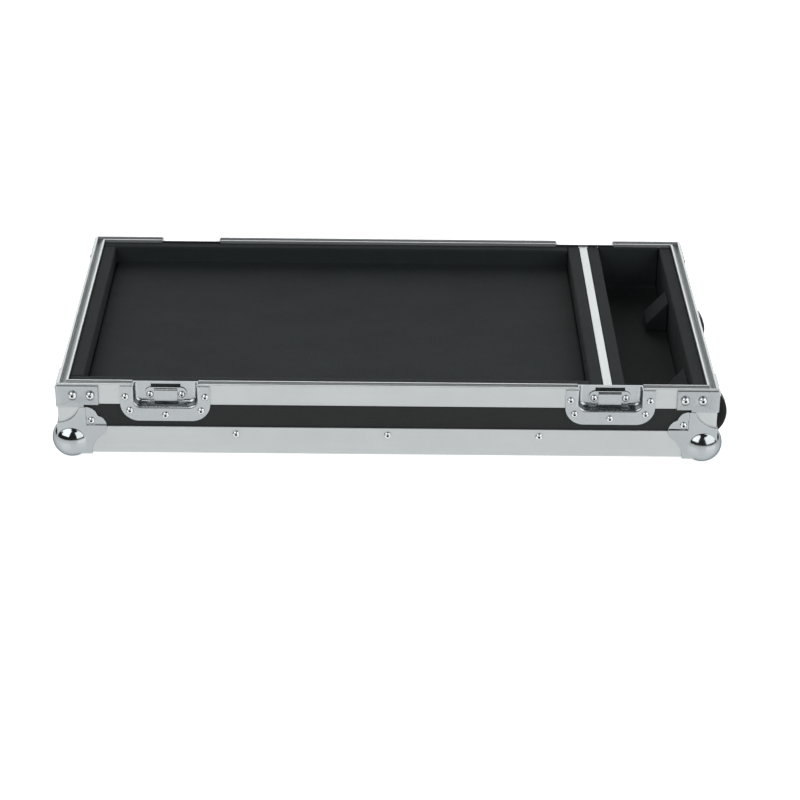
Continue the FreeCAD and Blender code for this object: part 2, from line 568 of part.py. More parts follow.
def wheel(end):
    y = WHEEL_Y[end]
    at = (WHEEL_X, y, WHEEL_Z)
    # housing: two cheeks, an inner wall and a roof, open outwards and downwards
    right, low = f"{HALF_X} - {WHEEL_X}", f"({EDGE_Z} - {WHEEL_Z})"
    shell = prism(f"{end}_shell", "XZ", well_section(SHELL, right, low), at, HOUSING_HALF, HOUSING_HALF)
    room = well_section(WELL, f"{right} + overrun", f"{low} - overrun")
    well = prism(f"{end}_well", "XZ", room, at, CHEEK, CHEEK)
    bore = doc.addObject("Part::Cylinder", f"{end}_axle_bore")
    bore.Placement.Rotation = TURNS["XZ"]
    bind(bore, Radius="axle_radius", Height=f"2 * {HOUSING_HALF}")
    place(bore, WHEEL_X, f"{y} + {HOUSING_HALF}", WHEEL_Z)
    flange_x = (f"{HALF_X} - {RIM_WIDE}", INNER_X)
    flange_z = (FLOOR_Z, f"{WHEEL_Z} + {SHELL}")
    near_y = (f"{y} - {HOUSING_HALF} - housing_flange", f"{y} - {CHEEK}")
    far_y = (f"{y} + {CHEEK}", f"{y} + {HOUSING_HALF} + housing_flange")
    near = span(f"{end}_flange_near", flange_x, near_y, flange_z)
    far = span(f"{end}_flange_far", flange_x, far_y, flange_z)
    blank = fuse(f"{end}_housing_blank", [shell, near, far])
    node(cut(f"{end}_wheel_housing", blank, [well, bore]), f"{end}_wheel_housing")

    # tyre, hub, bearings, axle and spacers, all turned about the axle's line
    half = "tyre_width / 2"
    tyre = turned(f"{end}_tyre_blank", [("hub_radius", f"-{half}"), ("tyre_radius", f"-{half}"),
                                        ("tyre_radius", half), ("hub_radius", half)], at)

    def on_tread(edge):
        circle = edge.Curve.TypeId == "Part::GeomCircle"
        return circle and edge.Curve.Radius > size["hub_radius"] + size["fit"]

    node(rounded(f"{end}_tyre", tyre, "tyre_edge", on_tread), f"{end}_tyre")
    seat = f"({half} - bearing_width)"
    section = [("bearing_radius", f"-{half}"), ("hub_radius", f"-{half}"), ("hub_radius", half),
               ("bearing_radius", half), ("bearing_radius", seat), ("bearing_shoulder", seat),
               ("bearing_shoulder", f"-{seat}"), ("bearing_radius", f"-{seat}")]
    node(turned(f"{end}_wheel_hub", section, at), f"{end}_wheel_hub")
    bearings = []
    bore = "axle_radius + running_gap"
    for side, sign in (("near", "-"), ("far", "")):
        inner, outer = f"{sign}{seat}", f"{sign}{half}"
        section = [(bore, inner), ("bearing_radius", inner), ("bearing_radius", outer), (bore, outer)]
        bearings.append(turned(f"{end}_bearing_{side}", section, at))
    pair = doc.addObject("Part::Compound", f"{end}_wheel_bearings")
    pair.Links = bearings
    node(pair, f"{end}_wheel_bearings")
    axle = doc.addObject("Part::Cylinder", f"{end}_axle")
    axle.Placement.Rotation = TURNS["XZ"]
    bind(axle, Radius="axle_radius", Height=f"2 * {HOUSING_HALF}")
    node(place(axle, WHEEL_X, f"{y} + {HOUSING_HALF}", WHEEL_Z), f"{end}_axle")
    outer = "axle_radius + spacer_wall"
    sleeves = [(f"-{CHEEK}", f"-{half} - side_play"), (f"-{seat} + side_play", f"{seat} - side_play"),
               (f"{half} + side_play", CHEEK)]
    sections = [[("axle_radius", a), (outer, a), (outer, b), ("axle_radius", b)] for a, b in sleeves]
    return [turned(f"{end}_spacer_{i}", section, at) for i, section in enumerate(sections)]


def wheel_cover(end, near, far):
    """Foam block over a wheel housing, its top sloping down from the wall."""
    at = (WHEEL_X, WHEEL_Y[end], WHEEL_Z)
    wall, inside = f"{LINING_X} - {WHEEL_X}", f"{LINING_X} - cover_thick - {WHEEL_X}"
    low = f"{SIDE_FLOOR_Z} - {WHEEL_Z}"
    reach = f"({SHELL} + cover_wall) * {math.sqrt(2):.6f}"
    points = [(wall, low), (inside, low), (inside, f"{reach} + {inside}"),
              (wall, f"{reach} + {wall} + cover_rise")]
    block = prism(f"{end}_cover_block", "XZ", points, at, near, far)
    room = well_section(f"({SHELL} + fit)", f"{wall} + overrun", f"{low} - overrun")
    hollow = prism(f"{end}_cover_hollow", "XZ", room, at, f"{HOUSING_HALF} + fit", f"{HOUSING_HALF} + fit")
    node(cut(f"{end}_wheel_cover", block, [hollow]), f"{end}_wheel_cover")


def wheels():
    spacers = wheel("front") + wheel("back")
    group = doc.addObject("Part::Compound", "bearing_spacers")
    group.Links = spacers
    node(group, "bearing_spacers")
    wheel_cover("front", f"{WHEEL_Y['front']} + {OUTER_Y} - end_foam", "front_cover_far")
    wheel_cover("back", "back_cover_near", "back_cover_far")


def write_parts():
    doc.recompute()
    faults = [o.Name for o in doc.Objects if "Invalid" in o.State or "Error" in o.State]
    faults += [n.Label for n in nodes if n.Shape.isNull() or not n.Shape.isValid()]
    if faults:
        raise RuntimeError(f"not built: {faults}")
    os.makedirs("parts", exist_ok=True)
    for piece in nodes:
        piece.Shape.exportStep(f"parts/{piece.Label}.step")
    print(len(nodes), "pieces,", sum(len(n.Shape.Solids) for n in nodes), "solids")


panels()
rims()
bottom_angles()
corner_angles()
corner_plates()
ball_corners()
latch_dishes()
keepers()
all_rivets()
lining()
wheels()
write_parts()
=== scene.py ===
import json
import math

import bpy
from mathutils import Matrix, Vector

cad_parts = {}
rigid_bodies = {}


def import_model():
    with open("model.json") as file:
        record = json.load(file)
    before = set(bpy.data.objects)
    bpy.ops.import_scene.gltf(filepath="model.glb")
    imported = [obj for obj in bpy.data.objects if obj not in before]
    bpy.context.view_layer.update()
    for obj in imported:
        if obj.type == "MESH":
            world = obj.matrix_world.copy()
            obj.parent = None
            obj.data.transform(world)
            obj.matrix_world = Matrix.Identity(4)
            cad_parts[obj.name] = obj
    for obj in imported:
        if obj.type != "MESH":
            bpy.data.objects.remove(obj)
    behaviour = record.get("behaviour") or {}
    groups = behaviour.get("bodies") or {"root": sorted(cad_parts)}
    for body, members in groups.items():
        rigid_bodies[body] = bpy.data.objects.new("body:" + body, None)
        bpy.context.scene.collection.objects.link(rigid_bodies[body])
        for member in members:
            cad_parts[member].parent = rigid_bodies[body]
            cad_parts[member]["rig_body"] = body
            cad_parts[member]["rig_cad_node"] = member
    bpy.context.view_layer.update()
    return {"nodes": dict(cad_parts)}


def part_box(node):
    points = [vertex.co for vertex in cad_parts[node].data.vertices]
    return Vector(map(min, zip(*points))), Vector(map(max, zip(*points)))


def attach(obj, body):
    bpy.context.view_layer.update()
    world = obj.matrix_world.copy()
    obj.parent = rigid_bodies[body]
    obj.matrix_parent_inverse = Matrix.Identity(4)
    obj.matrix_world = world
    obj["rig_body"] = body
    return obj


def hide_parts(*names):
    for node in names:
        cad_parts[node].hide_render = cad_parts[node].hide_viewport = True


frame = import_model()
mm = 0.001
same, near = 0.01, 0.05  # how close counts as one place, in mm
mergeGap = 0.002  # points closer than this become one, in mm
print("frame loaded:", len(frame["nodes"]), "nodes")


def spanOf(node):  # low and high corner of a CAD node, in mm
    low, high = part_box(node)
    return Vector(low) / mm, Vector(high) / mm


halfX, halfY, rimTop = spanOf("back_rim")[1]  # the tray over its edges, and the top of its rim
edgeLow = spanOf("front_bottom_angle")[0].z


def choose(piece):
    bpy.ops.object.select_all(action="DESELECT")
    piece.select_set(True)
    bpy.context.view_layer.objects.active = piece


def pickEdges(piece, test):  # leaves the piece in edit mode with only the edges that pass the test selected
    choose(piece)
    bpy.ops.object.mode_set(mode="EDIT")
    bpy.ops.mesh.select_mode(type="EDGE")
    bpy.ops.mesh.select_all(action="DESELECT")
    bpy.ops.object.mode_set(mode="OBJECT")
    mesh = piece.data
    for edge in mesh.edges:
        a, b = [mesh.vertices[i].co / mm for i in edge.vertices]
        edge.select = bool(test(a, b))
    bpy.ops.object.mode_set(mode="EDIT")


def stopEditing():
    bpy.ops.object.mode_set(mode="OBJECT")


def block(name, low, high):  # a cube between two corners, in mm
    bpy.ops.object.select_all(action="DESELECT")
    middle = [(a + b) / 2 * mm for a, b in zip(low, high)]
    bpy.ops.mesh.primitive_cube_add(size=1, location=middle)
    piece = bpy.context.object
    piece.name = name
    piece.scale = [(b - a) * mm for a, b in zip(low, high)]
    bpy.ops.object.transform_apply(location=True, rotation=True, scale=True)
    return piece


def roundEdges(piece, radius, segments, test):
    pickEdges(piece, test)
    bpy.ops.mesh.bevel(offset=radius * mm, offset_type="OFFSET", segments=segments, affect="EDGES")
    stopEditing()


def useModifier(piece, kind, **settings):
    choose(piece)
    modifier = piece.modifiers.new(kind.lower(), kind)
    for name, value in settings.items():
        setattr(modifier, name, value)
    bpy.ops.object.modifier_apply(modifier=modifier.name)


def combine(piece, other, way):
    useModifier(piece, "BOOLEAN", object=other, operation=way, solver="EXACT")
    bpy.data.objects.remove(other)


def soften(piece, width, segments=2, angle=30):  # small rounding on every sharp edge, flat faces stay flat
    choose(piece)
    bpy.ops.object.shade_smooth()
    useModifier(piece, "BEVEL", width=width * mm, segments=segments, limit_method="ANGLE",
                angle_limit=math.radians(angle), harden_normals=True)


def smoothBelow(piece, angle):  # shading only, edges sharper than the angle stay crisp
    choose(piece)
    bpy.ops.object.shade_smooth_by_angle(angle=math.radians(angle))


def copyNode(node, name):  # own mesh, merged and with its flat faces whole again
    choose(frame["nodes"][node])
    bpy.ops.object.duplicate()
    piece = bpy.context.object
    piece.name = name
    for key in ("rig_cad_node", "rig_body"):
        del piece[key]
    piece.data.materials.clear()
    bpy.ops.object.mode_set(mode="EDIT")
    bpy.ops.mesh.select_all(action="SELECT")
    bpy.ops.mesh.customdata_custom_splitnormals_clear()
    bpy.ops.mesh.remove_doubles(threshold=mergeGap * mm)
    bpy.ops.mesh.dissolve_limited(angle_limit=math.radians(0.5))
    stopEditing()
    return piece


def copyPiece(piece, name, move=(0, 0, 0), turn=0, mirror=None):  # move in mm, turn about Z in degrees
    choose(piece)
    bpy.ops.object.duplicate()
    copy = bpy.context.object
    copy.name = name
    change = Matrix.Translation(Vector(move) * mm) @ Matrix.Rotation(math.radians(turn), 4, "Z")
    if mirror:
        change = Matrix.Scale(-1, 4, Vector([float(axis == mirror) for axis in "xyz"])) @ change
    copy.matrix_world = change
    bpy.ops.object.transform_apply(location=True, rotation=True, scale=True)
    if mirror:  # a mirrored mesh is inside out
        bpy.ops.object.mode_set(mode="EDIT")
        bpy.ops.mesh.select_all(action="SELECT")
        bpy.ops.mesh.normals_make_consistent(inside=False)
        stopEditing()
    return copy


def joinPieces(pieces, name):
    choose(pieces[0])
    for piece in pieces[1:]:
        piece.select_set(True)
    bpy.ops.object.join()
    pieces[0].name = name
    return pieces[0]


def turnProfile(name, steps, segments, ring=False):  # steps are radius and height in mm, turned about Z
    bpy.ops.object.select_all(action="DESELECT")
    (radius, height) = steps[0]
    fill = "NOTHING" if ring else "NGON"
    bpy.ops.mesh.primitive_circle_add(vertices=segments, radius=radius * mm, fill_type=fill,
                                      location=(0, 0, height * mm))
    piece = bpy.context.object
    piece.name = name
    bpy.ops.object.transform_apply(location=True, rotation=True, scale=True)
    bpy.ops.object.mode_set(mode="EDIT")
    bpy.ops.mesh.select_all(action="SELECT")
    for (nextRadius, nextHeight) in steps[1:]:
        rise = (nextHeight - height) * mm
        bpy.ops.mesh.extrude_region_move(TRANSFORM_OT_translate={"value": (0, 0, rise)})
        share = nextRadius / radius
        bpy.ops.transform.resize(value=(share, share, 1), center_override=(0, 0, nextHeight * mm))
        radius, height = nextRadius, nextHeight
    bpy.ops.mesh.select_all(action="SELECT")
    bpy.ops.mesh.remove_doubles(threshold=mergeGap * mm)
    bpy.ops.mesh.normals_make_consistent(inside=False)
    stopEditing()
    return piece


def finishPiece(piece, materials, nodes, body="case"):
    for material in materials:
        piece.data.materials.append(material)
    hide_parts(*nodes)
    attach(piece, body)


def hexColour(text):
    shares = [int(text[i:i + 2], 16) / 255 for i in (1, 3, 5)]
    return [c / 12.92 if c <= 0.04045 else ((c + 0.055) / 1.055) ** 2.4 for c in shares] + [1]


def addNode(tree, kind, values=None, links=None, **settings):
    node = tree.nodes.new("ShaderNode" + kind)
    for name, value in settings.items():
        setattr(node, name, value)
    for socket, value in (values or {}).items():
        node.inputs[socket].default_value = value
    for socket, source in (links or {}).items():
        tree.links.new(source, node.inputs[socket])
    return node


def startMaterial(name, colour, sockets):
    material = bpy.data.materials.new(name)
    material.use_nodes = True
    material.diffuse_color = hexColour(colour)
    tree = material.node_tree
    shader = tree.nodes["Principled BSDF"]
    shader.inputs["Base Color"].default_value = hexColour(colour)
    for socket, value in sockets.items():
        shader.inputs[socket].default_value = value
    place = addNode(tree, "TexCoord").outputs["Object"]
    return material, tree, shader, place


def linkShader(tree, shader, sources):
    for socket, source in sources.items():
        tree.links.new(source, shader.inputs[socket])


# extruded and satin anodised: pale silver, soft reflections, faint lines along its length
def satinAluminium(axis):
    look = {"pale": "#BFC3C3", "deep": "#B5B9BA", "metal": 0.7, "rough": (0.34, 0.46),
            "dieLine": 1.3, "lineLength": 160, "cloud": 38}  # real lines are 0.2 mm apart, drawn coarser
    material, tree, shader, place = startMaterial("satin_anodised_aluminium_" + axis, look["pale"],
                                                  {"Metallic": look["metal"], "Roughness": 0.4})
    scale = [1 / (look["dieLine"] * mm)] * 3
    scale["xyz".index(axis)] = 1 / (look["lineLength"] * mm)
    along = addNode(tree, "Mapping", {"Scale": scale}, {"Vector": place})
    lines = addNode(tree, "TexNoise", {"Scale": 1, "Detail": 2}, {"Vector": along.outputs[0]})
    cloud = addNode(tree, "TexNoise", {"Scale": 1 / (look["cloud"] * mm), "Detail": 3}, {"Vector": place})
    colour = addNode(tree, "Mix", {6: hexColour(look["pale"]), 7: hexColour(look["deep"])},
                     {0: cloud.outputs["Fac"]}, data_type="RGBA")
    rough = addNode(tree, "MapRange", {"From Min": 0.3, "From Max": 0.7, "To Min": look["rough"][0],
                                       "To Max": look["rough"][1]}, {"Value": lines.outputs["Fac"]})
    bump = addNode(tree, "Bump", {"Strength": 0.12, "Distance": 0.05 * mm}, {"Height": lines.outputs["Fac"]})
    linkShader(tree, shader, {"Base Color": colour.outputs[2], "Roughness": rough.outputs[0],
                              "Normal": bump.outputs[0]})
    return material


# pressed steel sheet under plating: clouded shine, slight waviness from the press
def platedSteel(name, look):
    material, tree, shader, place = startMaterial(name, look["pale"],
                                                  {"Metallic": 1, "Roughness": look["rough"][0],
                                                   "Specular Tint": hexColour(look["edge"])})
    cloud = addNode(tree, "TexNoise", {"Scale": 1 / (look["cloud"] * mm), "Detail": 4}, {"Vector": place})
    peel = addNode(tree, "TexNoise", {"Scale": 1 / (look["peel"] * mm), "Detail": 1}, {"Vector": place})
    colour = addNode(tree, "Mix", {6: hexColour(look["pale"]), 7: hexColour(look["deep"])},
                     {0: cloud.outputs["Fac"]}, data_type="RGBA")
    rough = addNode(tree, "MapRange", {"From Min": 0.35, "From Max": 0.7, "To Min": look["rough"][0],
                                       "To Max": look["rough"][1]}, {"Value": cloud.outputs["Fac"]})
    bump = addNode(tree, "Bump", {"Strength": look["wave"], "Distance": 0.1 * mm},
                   {"Height": peel.outputs["Fac"]})
    linkShader(tree, shader, {"Base Color": colour.outputs[2], "Roughness": rough.outputs[0],
                              "Normal": bump.outputs[0]})
    return material


# die-cut polyethylene foam: charcoal, quite matt, small cells cut open at the surface
def closedCellFoam():
    look = {"pale": "#2A2F30", "deep": "#1E2323", "rough": 0.85, "gloss": 0.25,
            "cell": 1.5, "drift": 70}  # real cells are 0.6 mm, drawn coarser
    material, tree, shader, place = startMaterial("closed_cell_polyethylene_foam", look["pale"],
                                                  {"Roughness": look["rough"],
                                                   "Specular IOR Level": look["gloss"]})
    cells = addNode(tree, "TexVoronoi", {"Scale": 1 / (look["cell"] * mm)}, {"Vector": place})
    drift = addNode(tree, "TexNoise", {"Scale": 1 / (look["drift"] * mm), "Detail": 4}, {"Vector": place})
    mottle = addNode(tree, "Math", {1: 0.6}, {0: cells.outputs["Distance"], 2: drift.outputs["Fac"]},
                     operation="MULTIPLY_ADD")
    colour = addNode(tree, "Mix", {6: hexColour(look["deep"]), 7: hexColour(look["pale"])},
                     {0: mottle.outputs[0]}, data_type="RGBA")
    bump = addNode(tree, "Bump", {"Strength": 0.5, "Distance": 0.35 * mm},
                   {"Height": cells.outputs["Distance"]})
    linkShader(tree, shader, {"Base Color": colour.outputs[2], "Normal": bump.outputs[0]})
    return material


# plywood faced with pressed black laminate: low sheen, fine pebble grain
def pebbledLaminate():
    look = {"pale": "#1F2323", "deep": "#191C1C", "rough": (0.45, 0.7), "gloss": 0.25,
            "pebble": 1.5, "drift": 90}
    material, tree, shader, place = startMaterial("pebbled_black_laminate", look["pale"],
                                                  {"Roughness": 0.55, "Specular IOR Level": look["gloss"]})
    grain = addNode(tree, "TexVoronoi", {"Scale": 1 / (look["pebble"] * mm)}, {"Vector": place},
                    feature="SMOOTH_F1")
    drift = addNode(tree, "TexNoise", {"Scale": 1 / (look["drift"] * mm), "Detail": 4}, {"Vector": place})
    colour = addNode(tree, "Mix", {6: hexColour(look["pale"]), 7: hexColour(look["deep"])},
                     {0: drift.outputs["Fac"]}, data_type="RGBA")
    rough = addNode(tree, "MapRange", {"From Min": 0, "From Max": 0.8, "To Min": look["rough"][0],
                                       "To Max": look["rough"][1]}, {"Value": grain.outputs["Distance"]})
    bump = addNode(tree, "Bump", {"Strength": 0.35, "Distance": 0.2 * mm},
                   {"Height": grain.outputs["Distance"]})
    linkShader(tree, shader, {"Base Color": colour.outputs[2], "Roughness": rough.outputs[0],
                              "Normal": bump.outputs[0]})
    return material


# moulded or sprayed black: soft sheen with a fine grain
def matteBlack(name, look):
    material, tree, shader, place = startMaterial(name, look["colour"],
                                                  {"Roughness": look["rough"][0],
                                                   "Specular IOR Level": look["gloss"]})
    grain = addNode(tree, "TexNoise", {"Scale": 1 / (look["grain"] * mm), "Detail": 3}, {"Vector": place})
    dust = addNode(tree, "TexNoise", {"Scale": 1 / (look["dust"] * mm), "Detail": 4}, {"Vector": place})
    colour = addNode(tree, "Mix", {6: hexColour(look["colour"]), 7: hexColour(look["worn"])},
                     {0: dust.outputs["Fac"]}, data_type="RGBA")
    rough = addNode(tree, "MapRange", {"From Min": 0.3, "From Max": 0.7, "To Min": look["rough"][0],
                                       "To Max": look["rough"][1]}, {"Value": dust.outputs["Fac"]})
    bump = addNode(tree, "Bump", {"Strength": 0.3, "Distance": 0.15 * mm}, {"Height": grain.outputs["Fac"]})
    linkShader(tree, shader, {"Base Color": colour.outputs[2], "Roughness": rough.outputs[0],
                              "Normal": bump.outputs[0]})
    return material


aluminiumX, aluminiumY, aluminiumZ = [satinAluminium(axis) for axis in "xyz"]
zincSheet = platedSteel("zinc_plated_pressed_sheet", {  # grey with a half dull shine
    "pale": "#A3A8AA", "deep": "#9A9FA1", "edge": "#C8CCD0", "rough": (0.2, 0.3),
    "cloud": 14, "peel": 6, "wave": 0.15})
nickelPlate = platedSteel("nickel_plated_pressed_steel", {  # close to a mirror
    "pale": "#ABB0B2", "deep": "#A3A8AA", "edge": "#969B9E", "rough": (0.08, 0.14),
    "cloud": 20, "peel": 7, "wave": 0.1})
dishPlate = platedSteel("dull_plated_pressed_steel", {  # soft greys that run into each other
    "pale": "#AEB3B5", "deep": "#A6ABAD", "edge": "#989CA2", "rough": (0.23, 0.31),
    "cloud": 20, "peel": 7, "wave": 0.1})
rivetSteel = platedSteel("bright_plated_rivet_steel", {  # small bright spots of light
    "pale": "#D8DBDC", "deep": "#CCCFD0", "edge": "#F0F2F4", "rough": (0.24, 0.3),
    "cloud": 3, "peel": 1.5, "wave": 0.1})
paintedHoleShade = matteBlack("rivet_hole_painted_shade", {  # painted shade: near black standing in for the shadow inside the rivet's hole
    "colour": "#141617", "worn": "#202324", "rough": (0.5, 0.7), "gloss": 0.5, "grain": 0.6, "dust": 2})
turnedSteel = platedSteel("turned_bright_steel", {  # silver, finely clouded by the tool
    "pale": "#C9CCCE", "deep": "#B4B8BB", "edge": "#F0F2F4", "rough": (0.22, 0.34),
    "cloud": 5, "peel": 1.2, "wave": 0.2})
foamCells = closedCellFoam()
laminate = pebbledLaminate()
castUrethane = matteBlack("cast_polyurethane", {  # deep black with hardly any shine
    "colour": "#090A0A", "worn": "#0F1010", "rough": (0.45, 0.6), "gloss": 0.2, "grain": 1.1, "dust": 12})
mouldedNylon = matteBlack("moulded_nylon", {  # black with a satin sheen
    "colour": "#1B1D1E", "worn": "#272A2B", "rough": (0.4, 0.55), "gloss": 0.5, "grain": 0.8, "dust": 10})
powderCoat = matteBlack("black_powder_coated_steel", {  # black, even and slightly rough
    "colour": "#17191A", "worn": "#222526", "rough": (0.5, 0.65), "gloss": 0.5, "grain": 1.0, "dust": 18})
print("materials made:", len(bpy.data.materials))


edgeSettings = {"rim": 0.4, "angle": 0.45, "cap": 0.5}  # edge rounding in mm

for side, metal in (("front", aluminiumX), ("back", aluminiumX), ("left", aluminiumY), ("right", aluminiumY)):
    for form in ("rim", "bottom_angle"):
        node = f"{side}_{form}"
        edge = copyNode(node, f"{side}_{form}_extrusion")
        soften(edge, edgeSettings["rim" if form == "rim" else "angle"])
        finishPiece(edge, [metal], [node])
for end in ("front", "back"):
    for side in ("left", "right"):
        node = f"{end}_{side}_corner_angle"
        edge = copyNode(node, f"{end}_{side}_upright_angle")
        soften(edge, edgeSettings["angle"])
        finishPiece(edge, [aluminiumZ], [node])
strip = copyNode("divider_cap", "divider_edge_strip")
soften(strip, edgeSettings["cap"])
finishPiece(strip, [aluminiumY], ["divider_cap"])
print("aluminium edges done")


plateSettings = {"thick": 2, "bend": 2.6, "bendSteps": 6, "edge": 0.45, "rivets": (17.7, 37.7),
                 "rivetDrop": 13.6, "dimpleWide": 6.6, "dimpleDeep": 0.95, "dimpleSides": 192}


def atPlateBend(a, b):
    out = plateSettings["thick"]
    upright = abs(a.x - b.x) < same and abs(a.y - b.y) < same
    return upright and abs(abs(a.x) - halfX - out) < near and abs(abs(a.y) - halfY - out) < near


def pressDimple(piece, point, out):  # a shallow round hollow under a rivet head
    wide, deep, sides = [plateSettings[key] for key in ("dimpleWide", "dimpleDeep", "dimpleSides")]
    radius = (wide * wide + deep * deep) / (2 * deep)
    bpy.ops.object.select_all(action="DESELECT")
    centre = Vector(point) + Vector(out) * (radius - deep)
    bpy.ops.mesh.primitive_uv_sphere_add(segments=sides, ring_count=sides // 2, radius=radius * mm,
                                         location=centre * mm)
    combine(piece, bpy.context.object, "DIFFERENCE")


def buildPlate():
    s = plateSettings
    plate = copyNode("front_left_corner_plate", "front_left_rim_plate")
    roundEdges(plate, s["bend"], s["bendSteps"], atPlateBend)
    soften(plate, s["edge"], angle=40)
    for along in s["rivets"]:
        z = rimTop - s["rivetDrop"]
        pressDimple(plate, (along - halfX, -halfY - s["thick"], z), (0, -1, 0))
        pressDimple(plate, (-halfX - s["thick"], along - halfY, z), (-1, 0, 0))
    smoothBelow(plate, 30)
    return plate


def fourCorners(piece, name):  # the piece at the front left, and its mirror images at the other corners
    return {"front_left": piece,
            "front_right": copyPiece(piece, "front_right_" + name, mirror="x"),
            "back_left": copyPiece(piece, "back_left_" + name, mirror="y"),
            "back_right": copyPiece(piece, "back_right_" + name, turn=180)}


for corner, piece in fourCorners(buildPlate(), "rim_plate").items():
    finishPiece(piece, [zincSheet], [f"{corner}_corner_plate"])
print("corner plates done")


ballSettings = {"radius": 23, "inset": 13.5, "leg": 1.5, "crease": 1.8, "voxel": 0.5, "rounds": 4,
                "creaseRounds": 12, "onBall": 0.35, "keep": 0.35, "step": 31, "stepWide": 1.6, "stepLow": 35}


def buildBallCorner():
    s = ballSettings
    piece = copyNode("front_left_ball_corner", "front_left_corner_casting")
    centre = Vector((-halfX, -halfY, edgeLow)) + Vector([s["inset"]] * 3)
    toFace = s["inset"] + s["leg"]
    useModifier(piece, "REMESH", mode="VOXEL", voxel_size=s["voxel"] * mm)
    useModifier(piece, "SMOOTH", iterations=s["rounds"])
    crease = []  # the ball is brought back to a true round, its creases are kept for smoothing
    for vertex in piece.data.vertices:
        out = vertex.co / mm - centre
        offBall = abs(out.length - s["radius"])
        along = max(out.x, out.y) + s["inset"]
        atStep = abs(along - s["step"]) < s["stepWide"] and out.z + s["inset"] > s["stepLow"]
        if offBall < s["crease"] and any(abs(v + toFace) < s["crease"] for v in out):
            crease.append(vertex.index)
        elif atStep and abs(vertex.normal.z) < 0.5:
            crease.append(vertex.index)
        elif offBall < s["onBall"] and min(out) < -toFace:
            vertex.co = (centre + out.normalized() * s["radius"]) * mm
    piece.vertex_groups.new(name="crease").add(crease, 1, "REPLACE")
    useModifier(piece, "SMOOTH", iterations=s["creaseRounds"], vertex_group="crease")
    useModifier(piece, "DECIMATE", ratio=s["keep"])
    choose(piece)
    bpy.ops.object.shade_smooth()
    return piece


ballCorner = buildBallCorner()
for corner, piece in fourCorners(ballCorner, "corner_casting").items():
    finishPiece(piece, [nickelPlate], [f"{corner}_ball_corner"])
print("ball corners done:", len(ballCorner.data.polygons), "faces each")


dishSettings = {"wall": 1.5, "sheet": 1.2, "topDrop": 2.2, "bandDrop": 25.3, "corner": 21.5,
                "cornerSteps": 20, "recessHalf": 36, "recessTall": 27, "recessDeep": 12, "recessCorner": 9,
                "recessSteps": 12, "panSteps": 10, "roll": 3.4, "fillet": 5, "filletSteps": 6,
                "slotHalf": 17, "slotDrop": 3.9, "slotTall": 3.9, "backDrop": 1.2,
                "lap": 0.1, "over": 20}  # blocks lap by the one, and cutters reach past by the other


def alongY(a, b):
    return abs(a.x - b.x) < same and abs(a.z - b.z) < same


def buildDish():
    s = dishSettings
    low, high = spanOf("front_left_latch_dish")
    x, half = (low.x + high.x) / 2, (high.x - low.x) / 2
    face, wall, seat, back = low.y, -halfY, -halfY + s["wall"], high.y
    top, band, floor = rimTop - s["topDrop"], rimTop - s["bandDrop"], rimTop - s["recessTall"]
    inside, outside = s["recessHalf"], s["recessHalf"] + s["sheet"]
    lap, over = s["lap"], s["over"]

    def atLowCorner(a, b):
        return alongY(a, b) and a.z < low.z + lap

    def atMouth(a, b):
        return all(abs(c.y - face) < same and abs(c.x - x) < inside + same and c.z > floor - same
                   for c in (a, b))

    dish = block("front_left_dish_pressing", (x - half, face, low.z), (x + half, wall, top))
    roundEdges(dish, s["corner"], s["cornerSteps"], atLowCorner)
    rest = block("rest", (x - half, wall - lap, low.z), (x + half, seat, top))
    roundEdges(rest, s["corner"], s["cornerSteps"], atLowCorner)
    aboveBand = block("aboveBand", (x - half - over, wall - over, band),
                      (x + half + over, seat + over, top + over))
    combine(rest, aboveBand, "DIFFERENCE")  # the flange is let in below the band
    combine(dish, rest, "UNION")
    pan = block("pan", (x - outside, face + lap, floor - s["sheet"]),
                (x + outside, back, rimTop - s["backDrop"]))
    roundEdges(pan, s["recessCorner"], s["panSteps"], lambda a, b: alongY(a, b) and a.z < floor)
    combine(dish, pan, "UNION")
    hollow = block("hollow", (x - inside, face - over, floor), (x + inside, back - s["sheet"], rimTop + over))
    roundEdges(hollow, s["recessCorner"], s["recessSteps"], lambda a, b: alongY(a, b) and a.z < floor + lap)
    roundEdges(hollow, s["fillet"], s["filletSteps"],
               lambda a, b: min(a.y, b.y) > back - s["sheet"] - near and min(a.z, b.z) < rimTop)
    combine(dish, hollow, "DIFFERENCE")
    roundEdges(dish, s["roll"], s["filletSteps"], atMouth)
    slotTop = rimTop - s["slotDrop"]
    slot = block("slot", (x - s["slotHalf"], wall, slotTop - s["slotTall"]),
                 (x + s["slotHalf"], back + over, slotTop))
    combine(dish, slot, "DIFFERENCE")
    smoothBelow(dish, 35)
    return dish


latchX = -sum(spanOf("front_left_latch_dish"), Vector()).x / 2


def fourLatches(piece, name):  # the piece in the front left recess, and its copies in the others
    frontRight = copyPiece(piece, "front_right_" + name, move=(2 * latchX, 0, 0))
    return {"front_left": piece, "front_right": frontRight,
            "back_right": copyPiece(piece, "back_right_" + name, turn=180),
            "back_left": copyPiece(frontRight, "back_left_" + name, turn=180)}


dish = buildDish()
for corner, piece in fourLatches(dish, "dish_pressing").items():
    finishPiece(piece, [dishPlate], [f"{corner}_latch_dish"])
print("latch dishes done:", len(dish.data.polygons), "faces each")


keeperSettings = {"plate": 1.5, "ear": 7.5, "earSteps": 12, "plateRise": 0.8, "bridgeHalf": 13.25,
                  "bridgeRise": 0.3, "bridgeTall": 14, "slopeTall": 2.4, "bridgeEdge": 1.2, "bridgeSteps": 5,
                  "sink": 0.2, "edge": 0.4}


